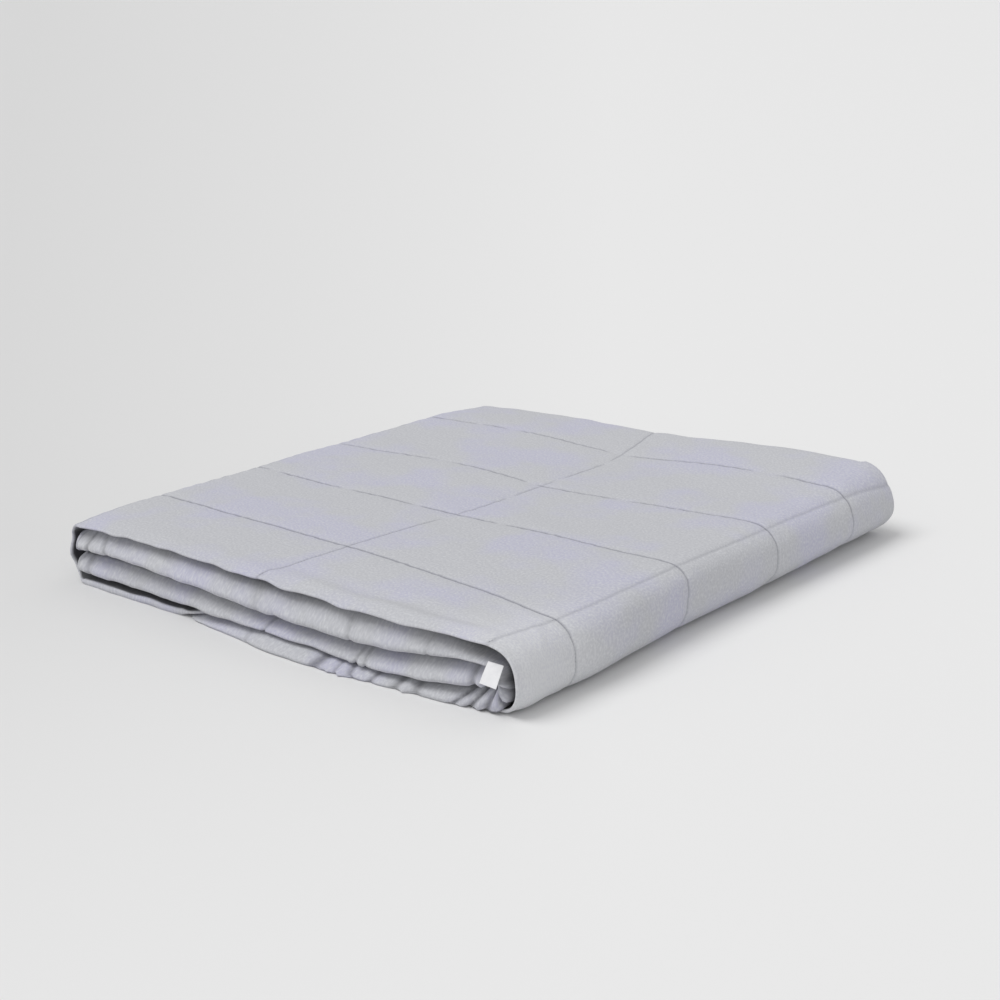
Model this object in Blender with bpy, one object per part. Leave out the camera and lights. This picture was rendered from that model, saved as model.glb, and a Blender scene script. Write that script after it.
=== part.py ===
# Weighted blanket, quilted in cells and folded in thirds twice.
#
# The length is folded first, in a Z, which gives a strip three layers deep: the outer layer,
# with its hem at the front, then the middle and the inner layer, joined by a bulge at the front.
# The strip is then folded like a letter: its left third goes under the top third, and its right
# third wraps around the ends of both and lies on the ground. All of it is one solid.
#
# X runs along the front, Y to the back and Z up. The origin is under the middle of the stack.

import math

import bpy
import numpy as np

# Cloth, in metres.
LAYER_PITCH = 0.0078       # height that one layer takes in the stack
CELL_THICK = 0.0068        # at the middle of a quilted cell
SEAM_THICK = 0.0046        # at a sewn channel
HEM_THICK = 0.0034         # at the hemmed edge
SEAM_FLANK = 0.014         # from a seam to where its cell is full
HEM_REACH = 0.045          # over which the cloth thins towards its hem
HEM_FOLD = 0.004           # width of the hem itself

# Folded size.
DEPTH = 0.679              # front to back
LEFT_FOLD_X = -0.2830      # centre of the left fold
RIGHT_FOLD_X = 0.262       # centre of the right fold, which wraps two strips
TUCKED_END_X = 0.262       # free end of the middle strip, inside the right fold
UNDER_END_X = -0.128       # free end of the strip that lies on the ground
FOLD_SQUARENESS = 0.84     # 1 is a round fold, less is squarer
FOLD_SLUMP = 0.004         # how far the right fold leans out at its foot
NOSE_SKEW = 1.9            # the front bulges are fullest below their middle
NOSE_DEEP = 0.006          # how much deeper the grooves between them are
DROOP = 0.006              # the front bulges lean forward towards their foot
BACK_LIFT = 0.015          # the stack is fuller at its back right corner
BACK_REACH = 0.008         # and that corner is pushed back
BELLY = 0.007              # the right fold bellies out towards the back
WAIST = 0.006              # it is drawn in low down beside its middle
FRONT_TUCK = 0.009         # and all of it is drawn in at its front
FOOT_TUCK = 0.008          # its foot is tucked in towards the back
FRONT_FLARE = 0.006        # the left fold spreads at its front
CORNER_ROUND = 0.014       # the back left corner, in plan

# Seams of the outer layer. A cell is about 0.27 by 0.156.
ROW_SEAMS_Y = (-0.232, -0.076, 0.080, 0.236)
COLUMN_SEAMS_X = (0.004, 0.256)

# Spacing of the mesh.
X_PITCH = 0.045
Y_PITCH = 0.11
EDGE_BAND = 0.045          # finer band beside the front and the back
BULGE_STEPS = 6
LEFT_FOLD_STEPS = 6
RIGHT_FOLD_STEPS = 8

# Heights in the stack: underside of the middle strip, underside of the top strip, and the top.
# Left of UNDER_END_X the middle strip sinks to the ground.
#     x      middle     top     crown
FRONT_STACK = (
    (-0.301, 0.0000, 0.0350, 0.0680),
    (-0.224, 0.0000, 0.0385, 0.0705),
    (-0.145, 0.0000, 0.0365, 0.0720),
    (-0.128, 0.0060, 0.0355, 0.0720),
    (-0.095, 0.0095, 0.0335, 0.0720),
    (-0.030, 0.0112, 0.0300, 0.0710),
    (0.022, 0.0112, 0.0285, 0.0700),
    (0.075, 0.0100, 0.0275, 0.0690),
    (0.104, 0.0090, 0.0270, 0.0685),
    (0.149, 0.0100, 0.0300, 0.0690),
    (0.196, 0.0130, 0.0370, 0.0700),
    (0.241, 0.0190, 0.0435, 0.0702),
    (0.262, 0.0234, 0.0468, 0.0702),
)
INNER_STACK = (
    (-0.301, 0.0000, 0.0350, 0.0750),
    (-0.192, 0.0000, 0.0370, 0.0745),
    (-0.118, 0.0150, 0.0440, 0.0745),
    (-0.070, 0.0234, 0.0468, 0.0735),
    (0.000, 0.0234, 0.0468, 0.0725),
    (0.100, 0.0234, 0.0468, 0.0710),
    (0.262, 0.0234, 0.0468, 0.0702),
)
FRONT_BAND = 0.10          # over which the front heights give way to the inner ones

# How far the hem and the bulge stand back from the front, along the strips and folds.
#    place, a strip or a fold and a share of it     hem    bulge
UNDER, RIGHT_FOLD, TOP, LEFT_FOLD, MIDDLE = range(5)
SETBACKS = (
    (UNDER + 0.00, 0.014, 0.010),
    (UNDER + 0.09, 0.016, 0.002),
    (UNDER + 0.45, 0.016, -0.004),
    (UNDER + 0.78, 0.016, -0.001),
    (UNDER + 0.97, 0.016, 0.007),
    (RIGHT_FOLD + 0.35, 0.008, 0.014),
    (RIGHT_FOLD + 0.90, 0.001, 0.011),
    (TOP + 0.20, 0.000, 0.000),
    (TOP + 0.42, 0.000, -0.003),
    (TOP + 0.75, 0.000, -0.003),
    (TOP + 0.94, 0.001, 0.000),
    (LEFT_FOLD + 0.24, 0.009, 0.005),
    (LEFT_FOLD + 0.50, 0.012, 0.014),
    (LEFT_FOLD + 0.70, 0.010, 0.010),
    (MIDDLE + 0.05, 0.004, 0.001),
    (MIDDLE + 0.26, 0.004, 0.000),
    (MIDDLE + 0.40, 0.018, 0.001),
    (MIDDLE + 0.92, 0.018, 0.003),
    (MIDDLE + 1.00, 0.018, 0.008),
)

# Side label, blank, sewn to the tucked end.
LABEL_LONG = 0.023         # along the hem
LABEL_OUT = 0.015          # out from the hem
LABEL_THICK = 0.0010
LABEL_X = 0.2632
LABEL_Z = 0.0393
LABEL_LEAN = math.radians(28)
PIECE_GAP = 0.0003

COTTON_GREY = (0.56, 0.565, 0.60)
LABEL_WHITE = (0.86, 0.86, 0.87)

STRIP_HEIGHT = 3 * LAYER_PITCH
AIR = (LAYER_PITCH - CELL_THICK) / 2
BULGE_RADIUS = (STRIP_HEIGHT - HEM_THICK - 3 * AIR - CELL_THICK) / 2
HALF_DEPTH = DEPTH / 2
BULGE_Y = HALF_DEPTH - BULGE_RADIUS - CELL_THICK / 2


def smooth(value, start, end):
    """0 at start, 1 at end, level at both."""
    share = min(max((value - start) / (end - start), 0.0), 1.0)
    return share * share * (3 - 2 * share)


def along(rows, column, value):
    """A table's column at a value of its first column."""
    rows = sorted(rows)
    return float(np.interp(value, [row[0] for row in rows], [row[column] for row in rows]))


def spread(start, end, pitch, extra=()):
    """Even stations from start to end, merged with extra ones."""
    count = max(round(abs(end - start) / pitch), 1)
    even = [start + (end - start) * i / count for i in range(count + 1)]
    merged = sorted({round(value, 5) for value in [*even, *extra]})
    return merged if end > start else merged[::-1]


def flanked(seams):
    return [seam + side * SEAM_FLANK for seam in seams for side in (-1, 0, 1)]


def cloth_thickness(place, seams, hems):
    """Thickness at a place: full in a cell, drawn in at a seam, thin at a hem."""
    to_seam = min(abs(place - seam) for seam in seams) if seams else SEAM_FLANK
    thick = CELL_THICK - (CELL_THICK - SEAM_THICK) * max(0.0, 1 - to_seam / SEAM_FLANK)
    for hem in hems:
        thick -= (thick - HEM_THICK) * (1 - smooth(abs(place - hem), HEM_FOLD, HEM_REACH))
    return thick


def strip_section():
    """Stations of the Z fold: layer, y, height, normal (y, height), thickness and turn.

    The turn of a front bulge goes from 0, beside the middle layer, to 1, beside the inner one.
    Height 0 is the strip's inner face. A bulge takes more room than two flat layers, and the
    hem beside it takes less, so the three layers fill the strip all the way.
    """
    low_bulge = AIR + CELL_THICK / 2
    low_hem = AIR + HEM_THICK / 2
    heights = {
        # layer:  middle, front, back
        "outer": (2.5 * LAYER_PITCH, STRIP_HEIGHT - low_hem, STRIP_HEIGHT - low_bulge),
        "middle": (1.5 * LAYER_PITCH, low_bulge + 2 * BULGE_RADIUS,
                   STRIP_HEIGHT - low_bulge - 2 * BULGE_RADIUS),
        "inner": (0.5 * LAYER_PITCH, low_bulge, low_hem),
    }

    def layer_stations(layer, ys, direction, seams=(), hems=()):
        flat, front, back = heights[layer]
        for y in ys:
            height = flat + (front - flat) * smooth(-y, BULGE_Y - 2 * EDGE_BAND, BULGE_Y)
            height += (back - flat) * smooth(y, BULGE_Y - 2 * EDGE_BAND, BULGE_Y)
            thick = cloth_thickness(y, seams, hems)
            if layer != "outer" and y < 0:
                y += NOSE_DEEP * smooth(-y, BULGE_Y - 0.06, BULGE_Y)
            yield layer, y, height, (0.0, direction), thick, 0.0

    def bulge_stations(layer, upper, lower, side):
        centre = (upper + lower) / 2
        for i in range(1, BULGE_STEPS):
            out = math.sin(math.pi * i / BULGE_STEPS)
            up = math.cos(math.pi * i / BULGE_STEPS)
            place = side * (BULGE_Y + BULGE_RADIUS * out)
            height = centre + BULGE_RADIUS * up
            yield layer, place, height, (out, side * up), CELL_THICK, i / BULGE_STEPS

    band = [side * (BULGE_Y - EDGE_BAND * share) for side in (-1, 1) for share in (0.5, 1)]
    outer = [-HALF_DEPTH, HEM_FOLD - HALF_DEPTH, -BULGE_Y, BULGE_Y, *band, *flanked(ROW_SEAMS_Y)]
    hidden = spread(-BULGE_Y, BULGE_Y, Y_PITCH, band)
    inner = [*hidden[:-1], HALF_DEPTH - HEM_FOLD, HALF_DEPTH]
    return [
        *layer_stations("outer", sorted(outer), 1.0, ROW_SEAMS_Y, (-HALF_DEPTH,)),
        *bulge_stations("back bulge", heights["outer"][2], heights["middle"][2], 1),
        *layer_stations("middle", hidden[::-1], -1.0),
        *bulge_stations("front bulge", heights["middle"][1], heights["inner"][1], -1),
        *layer_stations("inner", inner, 1.0, hems=(HALF_DEPTH,)),
    ]


def letter_path():
    """Stations of the letter fold, from the end on the ground to the tucked end.

    Each has its place (a strip or a fold and a share of it), x, the centre that it turns
    around, the angle turned (0 where the strip lies on top, pi where it lies below), the side of
    the turn and the thickness.
    """
    right = (RIGHT_FOLD_X, 4.5 * LAYER_PITCH, 1.5 * LAYER_PITCH)
    left = (LEFT_FOLD_X, 6 * LAYER_PITCH, 0.0)
    rows = []

    def flat(strip, xs, fold, turned, seams=(), hems=()):
        for x in xs:
            share = min((x - xs[0]) / (xs[-1] - xs[0]), 0.9999)
            rows.append((strip + share, x, (x, *fold[1:]), turned, 0,
                         cloth_thickness(x, seams, hems)))

    def turn(strip, fold, side, start, end, steps):
        for i in range(1, steps):
            rows.append((strip + i / steps, fold[0], fold, start + (end - start) * i / steps,
                         side, CELL_THICK))

    flanks = [x for x in flanked(COLUMN_SEAMS_X) if x < RIGHT_FOLD_X]
    flat(UNDER, spread(UNDER_END_X, RIGHT_FOLD_X, X_PITCH, (UNDER_END_X + HEM_FOLD,)),
         right, math.pi, hems=(UNDER_END_X,))
    turn(RIGHT_FOLD, right, 1, math.pi, 0, RIGHT_FOLD_STEPS)
    flat(TOP, spread(RIGHT_FOLD_X, LEFT_FOLD_X, X_PITCH, flanks), left, 0, COLUMN_SEAMS_X)
    turn(LEFT_FOLD, left, -1, 0, math.pi, LEFT_FOLD_STEPS)
    flat(MIDDLE, spread(LEFT_FOLD_X, TUCKED_END_X, X_PITCH, (TUCKED_END_X - HEM_FOLD,)),
         left, math.pi, hems=(TUCKED_END_X,))
    return rows


def stack_heights(x, y):
    """Heights of the strips' undersides and of the crown at a place in plan."""
    front = smooth(-y, HALF_DEPTH - FRONT_BAND, HALF_DEPTH)
    heights = [along(FRONT_STACK, i, x) * front + along(INNER_STACK, i, x) * (1 - front)
               for i in (1, 2, 3)]
    lift = BACK_LIFT * smooth(x, -0.08, 0.20) * (1 - 0.12 * smooth(x, 0.22, 0.27))
    heights[2] += lift * smooth(y, 0.16, HALF_DEPTH)
    return [0.0, *heights]


def shape_plan(x, y, z, out):
    """The folds drawn in and bellied out, and the back corners shaped, in plan.

    Out is how far round its fold the place is: 1 at the fold's side.
    """
    y += BACK_REACH * smooth(x, 0.05, 0.25) * smooth(y, 0.15, HALF_DEPTH)
    x += BELLY * smooth(x, 0.20, 0.30) * smooth(y, 0.0, 0.30) * out
    low = smooth(x, 0.24, 0.29) * (1 - smooth(z, 0.03, 0.07))
    x -= WAIST * math.exp(-((y + 0.07) / 0.12) ** 2) * low
    x -= FRONT_TUCK * smooth(-y, 0.20, HALF_DEPTH) * smooth(x, 0.20, 0.29)
    bulged = smooth(z, 0.0, 0.02) * (1 - smooth(z, 0.048, 0.066))
    x -= FRONT_FLARE * smooth(-y, 0.27, HALF_DEPTH) * smooth(-x, 0.22, 0.29) * bulged
    x -= FOOT_TUCK * smooth(y, -0.05, 0.25) * smooth(x, 0.24, 0.29) * (1 - smooth(z, 0.0, 0.035))
    to_corner = smooth(-x, 0.20, 0.30) * smooth(y, 0.24, HALF_DEPTH)
    return x + CORNER_ROUND * to_corner, y - CORNER_ROUND * to_corner, z


def fold(path_row, section_row, face):
    """The point of one face of the cloth, 1 or -1, at a crossing of the two tables."""
    place, x, (centre_x, centre_z, inner), turned, side, path_thick = path_row
    layer, y, height, (normal_y, normal_z), section_thick, bulge_turn = section_row
    strip = int(place)
    half = min(path_thick, section_thick) / 2
    on_ground = strip == UNDER and layer == "outer" and face * normal_z > 0
    if on_ground:
        half = STRIP_HEIGHT - AIR - height

    # A front bulge is fullest below its middle, whichever way up the strip lies.
    turned_over = (1 - math.cos(turned)) / 2
    if layer == "front bulge":
        low = bulge_turn * (1 - turned_over) + (1 - bulge_turn) * turned_over
        normal_y = math.sin(math.pi * low ** NOSE_SKEW)
        y = -BULGE_Y - BULGE_RADIUS * normal_y + NOSE_DEEP * (1 - normal_y)

    # Where the stack opens up, the cloth keeps its thickness and the air between grows.
    levels = stack_heights(x, y)
    band = {UNDER: 0, TOP: 2, LEFT_FOLD: 2}.get(strip, 1)
    stretch = (levels[band + 1] - levels[band]) / STRIP_HEIGHT
    stretch = 1.0 if on_ground else 1 + (max(stretch, 1.0) - 1) * abs(math.cos(turned))
    radius = inner + height + face * normal_z * half / stretch
    out, up = math.sin(turned), math.cos(turned)
    squared_out = math.copysign(abs(out) ** FOLD_SQUARENESS, out) if side else 0.0
    squared_up = math.copysign(abs(up) ** FOLD_SQUARENESS, up)
    point_x = centre_x + side * radius * squared_out
    point_z = centre_z + radius * squared_up
    if side > 0:
        point_x += FOLD_SLUMP * out * (1 - point_z / (9 * LAYER_PITCH))
    base = (AIR, STRIP_HEIGHT, 2 * STRIP_HEIGHT, 3 * STRIP_HEIGHT)
    point_z = float(np.interp(point_z, base, stack_heights(point_x, y)))

    column = 1 if layer == "outer" else 2
    near_front = smooth(-y, HALF_DEPTH - FRONT_BAND, HALF_DEPTH)
    point_y = y + face * normal_y * half + near_front * along(SETBACKS, column, place)
    if layer != "outer":
        share = height / STRIP_HEIGHT
        lean = share * (1 - turned_over) + (1 - share) * turned_over - 0.35
        point_y += DROOP * lean * smooth(-y, HALF_DEPTH - 0.045, HALF_DEPTH - 0.004)
    return shape_plan(point_x, point_y, point_z, out)


def sheet_solid(name, rows, columns, point):
    """A closed solid from a grid of stations: two faces, and an edge all round."""
    vertices = [point(row, column, face) for face in (1, -1) for row in rows for column in columns]
    wide, long = len(columns), len(rows)
    back = wide * long

    def corner(i, j, face=0):
        return face * back + i * wide + j

    faces = []
    for i in range(long - 1):
        for j in range(wide - 1):
            faces.append([corner(i, j), corner(i, j + 1), corner(i + 1, j + 1), corner(i + 1, j)])
            faces.append([corner(i, j, 1), corner(i + 1, j, 1), corner(i + 1, j + 1, 1),
                          corner(i, j + 1, 1)])
    rim = [(i, 0) for i in range(long)] + [(long - 1, j) for j in range(1, wide)]
    rim += [(i, wide - 1) for i in range(long - 2, -1, -1)]
    rim += [(0, j) for j in range(wide - 2, 0, -1)]
    for (i, j), (k, m) in zip(rim, rim[1:] + rim[:1]):
        faces.append([corner(i, j), corner(k, m), corner(k, m, 1), corner(i, j, 1)])

    mesh = bpy.data.meshes.new(name)
    mesh.from_pydata(vertices, [], faces)
    mesh.validate()
    piece = bpy.data.objects.new(name, mesh)
    bpy.context.collection.objects.link(piece)
    face_outward(mesh)
    return piece


def face_outward(mesh):
    """Turn every face over if the solid came out inside out."""
    volume = 0.0
    mesh.calc_loop_triangles()
    for triangle in mesh.loop_triangles:
        a, b, c = (mesh.vertices[i].co for i in triangle.vertices)
        volume += a.dot(b.cross(c))
    if volume < 0:
        mesh.flip_normals()


def cotton(name, colour, roughness):
    material = bpy.data.materials.new(name)
    material.use_nodes = True
    shader = material.node_tree.nodes["Principled BSDF"]
    shader.inputs["Base Color"].default_value = (*colour, 1.0)
    shader.inputs["Roughness"].default_value = roughness
    shader.inputs["Metallic"].default_value = 0.0
    return material


def make_blanket():
    blanket = sheet_solid("blanket", letter_path(), strip_section(), fold)
    blanket.data.materials.append(cotton("grey_cotton", COTTON_GREY, 0.9))
    return blanket


def make_label(blanket):
    """The label hangs just in front of the foremost cloth behind it."""
    reach = math.hypot(LABEL_LONG, LABEL_OUT) / 2
    across = (-LABEL_OUT / 2, LABEL_OUT / 2)
    down = (LABEL_LONG / 2, 0.0, -LABEL_LONG / 2)
    behind = [v.co.y for v in blanket.data.vertices
              if abs(v.co.x - LABEL_X) < reach and abs(v.co.z - LABEL_Z) < reach]
    label_y = min(behind) - PIECE_GAP - LABEL_THICK / 2

    def point(out, along_hem, face):
        x = LABEL_X + out * math.cos(LABEL_LEAN) + along_hem * math.sin(LABEL_LEAN)
        z = LABEL_Z - out * math.sin(LABEL_LEAN) + along_hem * math.cos(LABEL_LEAN)
        return x, label_y + face * LABEL_THICK / 2, z

    label = sheet_solid("side_label", across, down, point)
    label.data.materials.append(cotton("white_satin", LABEL_WHITE, 0.6))
    return label


def clear_scene():
    for item in list(bpy.data.objects):
        bpy.data.objects.remove(item, do_unlink=True)


def centre_over_origin(pieces):
    places = [vertex.co for vertex in pieces[0].data.vertices]
    middle = [(min(co[i] for co in places) + max(co[i] for co in places)) / 2 for i in (0, 1)]
    for piece in pieces:
        for vertex in piece.data.vertices:
            vertex.co.x -= middle[0]
            vertex.co.y -= middle[1]


clear_scene()
blanket = make_blanket()
centre_over_origin([blanket, make_label(blanket)])
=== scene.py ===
import math

import bmesh
import bpy
import numpy as np
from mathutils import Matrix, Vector


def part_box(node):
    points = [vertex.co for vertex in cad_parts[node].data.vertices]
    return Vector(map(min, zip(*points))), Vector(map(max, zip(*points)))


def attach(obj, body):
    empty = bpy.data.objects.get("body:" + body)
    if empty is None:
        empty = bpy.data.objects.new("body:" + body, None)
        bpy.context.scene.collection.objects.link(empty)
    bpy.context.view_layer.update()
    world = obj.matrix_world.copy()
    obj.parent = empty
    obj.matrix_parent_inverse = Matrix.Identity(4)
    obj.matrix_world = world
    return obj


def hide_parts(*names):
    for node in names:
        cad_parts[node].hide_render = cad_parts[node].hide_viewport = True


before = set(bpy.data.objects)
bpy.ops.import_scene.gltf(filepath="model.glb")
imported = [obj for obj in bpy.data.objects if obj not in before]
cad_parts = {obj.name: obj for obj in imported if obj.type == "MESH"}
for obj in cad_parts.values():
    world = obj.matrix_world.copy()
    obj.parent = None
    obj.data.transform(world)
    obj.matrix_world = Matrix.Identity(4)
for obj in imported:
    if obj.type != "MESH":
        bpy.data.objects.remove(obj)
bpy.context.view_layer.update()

mm = 0.001


def hexColour(code):
    # sRGB hex to the linear values that shaders take
    channels = [int(code[i:i + 2], 16) / 255 for i in (1, 3, 5)]
    linear = [c / 12.92 if c <= 0.04045 else ((c + 0.055) / 1.055) ** 2.4 for c in channels]
    return (*linear, 1.0)


def smooth(value, start, end):
    # 0 at start, 1 at end, level at both
    share = np.clip((value - start) / (end - start), 0.0, 1.0)
    return share * share * (3 - 2 * share)


def bell(value, width):
    return np.exp(-(value / width) ** 2)


def tableAt(rows, column, value):
    # a smooth curve through a table's column, read at values of its first column, that never overshoots
    rows = sorted(rows)
    places = np.array([row[0] for row in rows], float)
    heights = np.array([row[column] for row in rows], float)
    rises = np.diff(heights) / np.diff(places)
    before, after = rises[:-1], rises[1:]
    level = before * after <= 0
    inside = np.where(level, 0.0, 2 * before * after / np.where(level, 1.0, before + after))
    slopes = np.concatenate([[0.0], inside, [0.0]])
    i = np.clip(np.searchsorted(places, value) - 1, 0, len(places) - 2)
    span = places[i + 1] - places[i]
    u = np.clip((value - places[i]) / span, 0.0, 1.0)
    blend = heights[i] * (1 + 2 * u) * (1 - u) ** 2 + heights[i + 1] * u * u * (3 - 2 * u)
    return blend + span * (slopes[i] * u * (1 - u) ** 2 - slopes[i + 1] * u * u * (1 - u))


def ripple(place, wavelength, seed):
    # uneven waves, mostly between -1 and 1
    dice = np.random.default_rng(seed)
    parts = [np.sin(2 * math.pi * place / (wavelength * dice.uniform(0.7, 1.7)) + dice.uniform(0, 6.3))
             for _ in range(4)]
    return sum(parts) / 2.6


def crossedRipples(x, y, pair):
    # two ripples at a slant to each other
    (slantX, longX, seedX), (slantY, longY, seedY) = pair
    return ripple(x + slantX * y, longX, seedX) + ripple(y + slantY * x, longY, seedY)


def gradedSteps(start, end, coarse, fine=None, places=(), reach=0.02):
    # stations from start to end, closer together near the given places
    fine = coarse if fine is None else fine
    steps = [start]
    while steps[-1] < end:
        nearest = min([reach, *(abs(steps[-1] + fine / 2 - place) for place in places)])
        steps.append(steps[-1] + fine + (coarse - fine) * nearest / reach)
    steps = np.array(steps)
    return start + (steps - start) * (end - start) / (steps[-1] - start)


# The blanket is one quilted sheet, folded in thirds twice. Its length folds first, in a Z, into a strip of
# three layers: outer, middle and inner. The strip then folds like a letter. Its left part goes under the
# top part, and its right part wraps the ends of both and lies on the ground.
# A place on the flat cloth is two distances: across, over the width from the end that lies on the ground,
# and down, over the length from the hem of the outer layer.
blanket = {
    "flat": (1.60, 2.03),
    "centreShift": (2.9 * mm, -2.4 * mm),  # puts the origin under the middle of the stack
    "most": 197000,                       # triangles

    # the cloth and its seams
    "layerPitch": 7.8 * mm,               # height that one layer takes in the stack
    "cellThick": 7.2 * mm,
    "seamThick": 4.6 * mm,
    "seamDraw": 6.5 * mm,                 # how far from its seam a cell takes to fill
    "rowGroove": 2.2 * mm,                # how deep the sewing cuts, both faces together
    "columnGroove": 0.8 * mm,
    "grooveWide": 1.1 * mm,
    "hemThick": 3.2 * mm,
    "hemReach": (2 * mm, 24 * mm),        # over which the hem fills to the full cloth
    "rim": 0.03,                          # keeps the rim from closing to nothing
    "firstRow": 0.1075,                   # row seams, down from the hem
    "outerRowPitch": 0.156,
    "rowPitch": 0.1517,
    "columns": (0.213, 0.483, 0.753, 1.045, 1.315),
    "gapWide": 12 * mm,                   # how far the closed places of a seam reach to its sides
    "gapFull": 1.4,                       # how fully they close
    "hiddenClosed": 0.7,                  # and the column seams of the hidden layers
    "fadeOver": 0.05,                     # over which a seam's look changes
    "slideOver": 0.1,                     # over which the outer layer's slide along itself ends
    "puckerHigh": 0.6 * mm,
    "puckerReach": (2.5 * mm, 11 * mm),   # from its seam, a pucker's start and end
    "rippleHigh": 0.25 * mm,
    "backRipple": 0.45 * mm,
    "pleatRipple": 0.35 * mm,
    "slant": 0.3,                         # of the puckers and of the ripple over the pleats

    # the letter fold
    "depth": 0.679,
    "leftFoldX": -0.2830,
    "rightFoldX": 0.262,
    "tuckedEndX": 0.268,
    "underEndX": -0.128,
    "rightFoldLong": 0.105,
    "leftFoldLong": 0.074,
    "foldSquareness": 0.84,
    "foldSlump": 4 * mm,
    "backLift": 15 * mm,                  # the stack is fuller at its back right corner
    "liftX": (-0.08, 0.20),
    "liftY": 0.16,                        # from here to the back
    "liftEase": (0.12, 0.22, 0.27),       # how much less at the edge, and over what x
    "crownRipple": 0.7 * mm,

    # the Z fold
    "edgeBand": 0.09,                     # over which the layers bend towards their bulges
    "frontBand": 0.10,                    # over which the front heights give way to the inner ones
    "noseBand": (0.045, 0.004),           # over which the front bulges come in, from the front edge
    "noseWide": 20 * mm,                  # how far down the cloth pleats and ripples reach from a nose
    "noseSkew": 1.9,                      # the front bulges' nose is low
    "turnedSkew": 0.3,                    # but less so in a strip that lies turned over
    "droop": 6 * mm,                      # the bulges lean forward towards their foot
    "droopMiddle": 0.35,
    "noseDeep": 6 * mm,                   # how much deeper the grooves between them are
    "deepOver": 0.06,
    "endDeep": 16 * mm,                   # and how much more at the right fold
    "endRange": ((0.0, 0.5), (1.0, 1.5)),  # shares of the fold over which that comes and goes
    "footFull": 0.85,                     # the bulge that lies on the ground keeps this much of its reach
    "footRange": (0.55, 0.75),            # down from here
    "footFade": (0.0, 0.35),              # and not beyond this share of the right fold
    "footFlat": (-14 * mm, -2 * mm),      # pleats fade here, from the nose of a bulge on the ground
    "footEnd": (0.02, 0.04),              # which ends here, past the start of the right fold
    "groundHem": 1.4,                     # the middle strip's hem is fuller where it lies on the ground
    "hemWave": 1.0,                       # of the hems along the front, in mm
    "innerFlare": -3 * mm,                # the inner layers of the left fold are drawn in

    # the roll along the front edge of the top
    "crest": (14 * mm, 9 * mm, 0.5),      # down from the hem, half width, share of the valley's depth
    "valley": (34 * mm, 11 * mm, 6 * mm),  # down from the hem, half width, how far it wanders
    "edgeWave": (0.8, 16 * mm),           # height in mm, half width
    "edgeDrop": 7 * mm,                   # half width of the drop of the very edge
    "pastRoll": 0.02,                     # how far the roll runs on over the right fold
    "creaseEnds": (-0.2, 0.25),           # shares of a crease over which it comes up

    # painted shade in the sewn channels and in the grooves at the front
    "channelWide": 1.15 * mm,
    "columnShade": 0.40,                  # of a column seam beside a row seam
    "sideFade": 0.6,                      # how much of a row seam's shade goes on the right fold
    "noseShade": ((0.05, 0.5), (0.45, 0.6)),  # shares of a nose's reach, dark and clear, more in a fold
    "hemShade": (0.5 * mm, 4 * mm),
    "pleatShade": (6 * mm, 0.6, 16 * mm),  # depth of a full shade, the most shade, half width
}
# Wavelength and seed of each ripple. The crown and the cloth have two that cross, with their slants first.
waves = {
    "crown": ((0.35, 0.21, 4), (-0.25, 0.17, 9)),
    "cloth": ((0.4, 0.05, 81), (-0.5, 0.06, 82)),
    "rowPuckers": (0.017, 71),
    "columnPuckers": (0.017, 72),
    "pleats": (0.034, 33),
    "backBulge": (0.045, 51),
    "hem": (0.05, 41),
    "edge": (0.05, 43),
    "valley": (0.11, 21),
}
# Heights in the stack: underside of the middle strip, underside of the top strip, and the top.
frontStack = (
    # x, middle, top, crown
    (-0.301, 0.0000, 0.0350, 0.0680),
    (-0.224, 0.0000, 0.0385, 0.0705),
    (-0.145, 0.0000, 0.0365, 0.0720),
    (-0.122, 0.0030, 0.0355, 0.0720),
    (-0.095, 0.0085, 0.0335, 0.0720),
    (-0.030, 0.0112, 0.0285, 0.0710),
    (0.022, 0.0112, 0.0268, 0.0700),
    (0.075, 0.0100, 0.0268, 0.0690),
    (0.104, 0.0080, 0.0265, 0.0685),
    (0.149, 0.0092, 0.0295, 0.0690),
    (0.196, 0.0120, 0.0365, 0.0700),
    (0.241, 0.0175, 0.0435, 0.0702),
    (0.268, 0.0228, 0.0464, 0.0702),
    (0.301, 0.0234, 0.0468, 0.0702),
)
innerStack = (
    (-0.301, 0.0000, 0.0350, 0.0750),
    (-0.192, 0.0000, 0.0370, 0.0745),
    (-0.118, 0.0150, 0.0440, 0.0745),
    (-0.070, 0.0234, 0.0468, 0.0735),
    (0.000, 0.0234, 0.0468, 0.0725),
    (0.100, 0.0234, 0.0468, 0.0710),
    (0.301, 0.0234, 0.0468, 0.0702),
)
# The row seams of the outer layer wander off their even places, and the column seams too.
rowDrift = (
    # x, then the shift to the back of each row seam from front to back, in mm
    (-0.30, 12, 0, -22, -8),
    (-0.19, 9, -1, -10, 4),
    (-0.13, 8, -2, -5, 2),
    (-0.06, 7, -2, -9, -4),
    (0.01, 6, -1, -17, -8),
    (0.13, -2, 10, 1, 12),
    (0.20, -10, 10, 10, 12),
    (0.26, -21, 10, 16, 10),
    (0.31, -23, 6, 12, 6),
    (0.37, -26, 0, 6, 0),
)
columnDrift = (
    # y, then the shift to the right of the middle and the right column seam, in mm
    (-0.34, -22, -7),
    (-0.26, -13, -4),
    (-0.18, -7, -3),
    (-0.07, 6, -1),
    (0.06, 11, 3),
    (0.17, 12, 6),
    (0.26, 0, 13),
    (0.34, -18, 20),
)
underPart, rightFold, topPart, leftFold, middlePart = range(5)
outerLayer, backBulge, middleLayer, frontBulge, innerLayer = range(5)
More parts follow.
